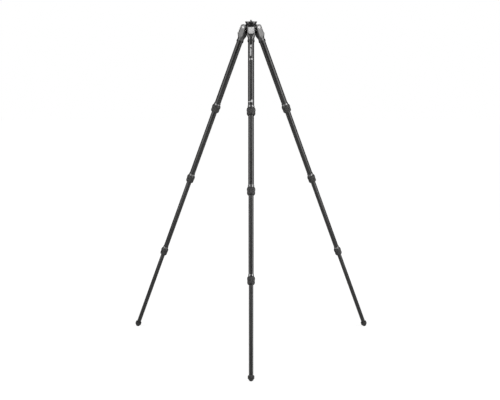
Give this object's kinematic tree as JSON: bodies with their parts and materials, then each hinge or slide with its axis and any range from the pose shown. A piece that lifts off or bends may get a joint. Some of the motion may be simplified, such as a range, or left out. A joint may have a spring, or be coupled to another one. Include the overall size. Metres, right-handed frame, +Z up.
{
  "type": "camera tripod",
  "caption": "Columnless camera tripod: flat head platform on a compact hub, carrying carbon legs that fold, telescope through twist locks and end in rubber feet.",
  "frame": {"origin": "centre of the platform's flat top face, on the tripod's axis, where a head rests; with the legs out as at rest the floor is the plane z = -1.7331 m", "axes": "+Z up along the tripod's axis; -Y points along the front leg; +X to the right seen from the front; the rest pose has the legs at the first stop, every section drawn out"},
  "size_m": [1.3366, 1.1621, 1.7416],
  "materials": {
    "carbon_tube": "satin clear coat over a woven carbon cloth",
    "black_anodised_aluminium": "black anodised, satin",
    "gunmetal_aluminium": "dark grey anodised, satin",
    "silver_aluminium": "clear anodised, satin",
    "steel": "plain stainless",
    "bearing_plastic": "natural acetal",
    "level_glass": "clear vial with green liquid",
    "rubber": "matte, ribbed grips"
  },
  "bodies": {
    "hub": {"hub": "black_anodised_aluminium", "platform": "black_anodised_aluminium", "head_stud": "steel", "grub_screws": "steel", "bubble_level": "level_glass", "pivot_bolts": "silver_aluminium", "pivot_bushes": "bearing_plastic", "clamp_knob": "black_anodised_aluminium"},
    "weight_hook": {"weight_hook": "steel"},
    "front_leg": {"front_casting": "gunmetal_aluminium", "front_tab_spring": "steel", "front_tube_1": "carbon_tube", "front_lock_1_sleeve": "silver_aluminium"},
    "front_angle_tab": {"front_angle_tab": "silver_aluminium"},
    "front_section_2": {"front_tube_2": "carbon_tube", "front_tube_2_shims": "bearing_plastic", "front_lock_2_sleeve": "silver_aluminium"},
    "front_section_3": {"front_tube_3": "carbon_tube", "front_tube_3_shims": "bearing_plastic", "front_lock_3_sleeve": "silver_aluminium"},
    "front_section_4": {"front_tube_4": "carbon_tube", "front_tube_4_shims": "bearing_plastic", "front_foot": "rubber"},
    "front_collar_1": {"front_lock_1_collar": "rubber"},
    "front_collar_2": {"front_lock_2_collar": "rubber"},
    "front_collar_3": {"front_lock_3_collar": "rubber"},
    "right_leg": {"right_casting": "gunmetal_aluminium", "right_tab_spring": "steel", "right_tube_1": "carbon_tube", "right_lock_1_sleeve": "silver_aluminium"},
    "right_angle_tab": {"right_angle_tab": "silver_aluminium"},
    "right_section_2": {"right_tube_2": "carbon_tube", "right_tube_2_shims": "bearing_plastic", "right_lock_2_sleeve": "silver_aluminium"},
    "right_section_3": {"right_tube_3": "carbon_tube", "right_tube_3_shims": "bearing_plastic", "right_lock_3_sleeve": "silver_aluminium"},
    "right_section_4": {"right_tube_4": "carbon_tube", "right_tube_4_shims": "bearing_plastic", "right_foot": "rubber"},
    "right_collar_1": {"right_lock_1_collar": "rubber"},
    "right_collar_2": {"right_lock_2_collar": "rubber"},
    "right_collar_3": {"right_lock_3_collar": "rubber"},
    "left_leg": {"left_casting": "gunmetal_aluminium", "left_tab_spring": "steel", "left_tube_1": "carbon_tube", "left_lock_1_sleeve": "silver_aluminium"},
    "left_angle_tab": {"left_angle_tab": "silver_aluminium"},
    "left_section_2": {"left_tube_2": "carbon_tube", "left_tube_2_shims": "bearing_plastic", "left_lock_2_sleeve": "silver_aluminium"},
    "left_section_3": {"left_tube_3": "carbon_tube", "left_tube_3_shims": "bearing_plastic", "left_lock_3_sleeve": "silver_aluminium"},
    "left_section_4": {"left_tube_4": "carbon_tube", "left_tube_4_shims": "bearing_plastic", "left_foot": "rubber"},
    "left_collar_1": {"left_lock_1_collar": "rubber"},
    "left_collar_2": {"left_lock_2_collar": "rubber"},
    "left_collar_3": {"left_lock_3_collar": "rubber"}
  },
  "joints": [
    {"name": "weight_hook_swing", "type": "hinge", "parent": "hub", "child": "weight_hook", "pos_m": [0, 0, -0.067], "axis": [1, 0, 0], "range_deg": [-60, 60]},
    {"name": "front_leg_spread", "type": "hinge", "parent": "hub", "child": "front_leg", "pos_m": [0, -0.037, -0.03], "axis": [-1, 0, 0], "range_deg": [-23, 62], "stiffness_Nm_per_rad": 600},
    {"name": "front_tab_pull", "type": "slide", "parent": "front_leg", "child": "front_angle_tab", "axis": [0, -0.3907, -0.9205], "range_m": [0, 0.005], "stiffness_N_per_m": 400, "springref_m": -0.004, "deforming": ["front_tab_spring"]},
    {"name": "front_lock_1_twist", "type": "hinge", "parent": "front_leg", "child": "front_collar_1", "pos_m": [0, -0.22103, -0.46356], "axis": [0, -0.3907, -0.9205], "range_deg": [0, 90]},
    {"name": "front_section_2_slide", "type": "slide", "parent": "front_leg", "child": "front_section_2", "axis": [0, 0.3907, 0.9205], "range_m": [0, 0.369], "stiffness_N_per_m": 40000},
    {"name": "front_lock_2_twist", "type": "hinge", "parent": "front_section_2", "child": "front_collar_2", "pos_m": [0, -0.3871, -0.85477], "axis": [0, -0.3907, -0.9205], "range_deg": [0, 90]},
    {"name": "front_section_3_slide", "type": "slide", "parent": "front_section_2", "child": "front_section_3", "axis": [0, 0.3907, 0.9205], "range_m": [0, 0.403], "stiffness_N_per_m": 40000},
    {"name": "front_lock_3_twist", "type": "hinge", "parent": "front_section_3", "child": "front_collar_3", "pos_m": [0, -0.56644, -1.27728], "axis": [0, -0.3907, -0.9205], "range_deg": [0, 90]},
    {"name": "front_section_4_slide", "type": "slide", "parent": "front_section_3", "child": "front_section_4", "axis": [0, 0.3907, 0.9205], "range_m": [0, 0.44], "stiffness_N_per_m": 40000},
    {"name": "right_leg_spread", "type": "hinge", "parent": "hub", "child": "right_leg", "pos_m": [0.03204, 0.0185, -0.03], "axis": [0.5, -0.866, 0], "range_deg": [-23, 62], "stiffness_Nm_per_rad": 600},
    {"name": "right_tab_pull", "type": "slide", "parent": "right_leg", "child": "right_angle_tab", "axis": [0.3384, 0.1954, -0.9205], "range_m": [0, 0.005], "stiffness_N_per_m": 400, "springref_m": -0.004, "deforming": ["right_tab_spring"]},
    {"name": "right_lock_1_twist", "type": "hinge", "parent": "right_leg", "child": "right_collar_1", "pos_m": [0.19142, 0.11052, -0.46356], "axis": [0.3384, 0.1954, -0.9205], "range_deg": [0, 90]},
    {"name": "right_section_2_slide", "type": "slide", "parent": "right_leg", "child": "right_section_2", "axis": [-0.3384, -0.1954, 0.9205], "range_m": [0, 0.369], "stiffness_N_per_m": 40000},
    {"name": "right_lock_2_twist", "type": "hinge", "parent": "right_section_2", "child": "right_collar_2", "pos_m": [0.33523, 0.19355, -0.85477], "axis": [0.3384, 0.1954, -0.9205], "range_deg": [0, 90]},
    {"name": "right_section_3_slide", "type": "slide", "parent": "right_section_2", "child": "right_section_3", "axis": [-0.3384, -0.1954, 0.9205], "range_m": [0, 0.403], "stiffness_N_per_m": 40000},
    {"name": "right_lock_3_twist", "type": "hinge", "parent": "right_section_3", "child": "right_collar_3", "pos_m": [0.49055, 0.28322, -1.27728], "axis": [0.3384, 0.1954, -0.9205], "range_deg": [0, 90]},
    {"name": "right_section_4_slide", "type": "slide", "parent": "right_section_3", "child": "right_section_4", "axis": [-0.3384, -0.1954, 0.9205], "range_m": [0, 0.44], "stiffness_N_per_m": 40000},
    {"name": "left_leg_spread", "type": "hinge", "parent": "hub", "child": "left_leg", "pos_m": [-0.03204, 0.0185, -0.03], "axis": [0.5, 0.866, 0], "range_deg": [-23, 62], "stiffness_Nm_per_rad": 600},
    {"name": "left_tab_pull", "type": "slide", "parent": "left_leg", "child": "left_angle_tab", "axis": [-0.3384, 0.1954, -0.9205], "range_m": [0, 0.005], "stiffness_N_per_m": 400, "springref_m": -0.004, "deforming": ["left_tab_spring"]},
    {"name": "left_lock_1_twist", "type": "hinge", "parent": "left_leg", "child": "left_collar_1", "pos_m": [-0.19142, 0.11052, -0.46356], "axis": [-0.3384, 0.1954, -0.9205], "range_deg": [0, 90]},
    {"name": "left_section_2_slide", "type": "slide", "parent": "left_leg", "child": "left_section_2", "axis": [0.3384, -0.1954, 0.9205], "range_m": [0, 0.369], "stiffness_N_per_m": 40000},
    {"name": "left_lock_2_twist", "type": "hinge", "parent": "left_section_2", "child": "left_collar_2", "pos_m": [-0.33523, 0.19355, -0.85477], "axis": [-0.3384, 0.1954, -0.9205], "range_deg": [0, 90]},
    {"name": "left_section_3_slide", "type": "slide", "parent": "left_section_2", "child": "left_section_3", "axis": [0.3384, -0.1954, 0.9205], "range_m": [0, 0.403], "stiffness_N_per_m": 40000},
    {"name": "left_lock_3_twist", "type": "hinge", "parent": "left_section_3", "child": "left_collar_3", "pos_m": [-0.49055, 0.28322, -1.27728], "axis": [-0.3384, 0.1954, -0.9205], "range_deg": [0, 90]},
    {"name": "left_section_4_slide", "type": "slide", "parent": "left_section_3", "child": "left_section_4", "axis": [0.3384, -0.1954, 0.9205], "range_m": [0, 0.44], "stiffness_N_per_m": 40000}
  ]
}
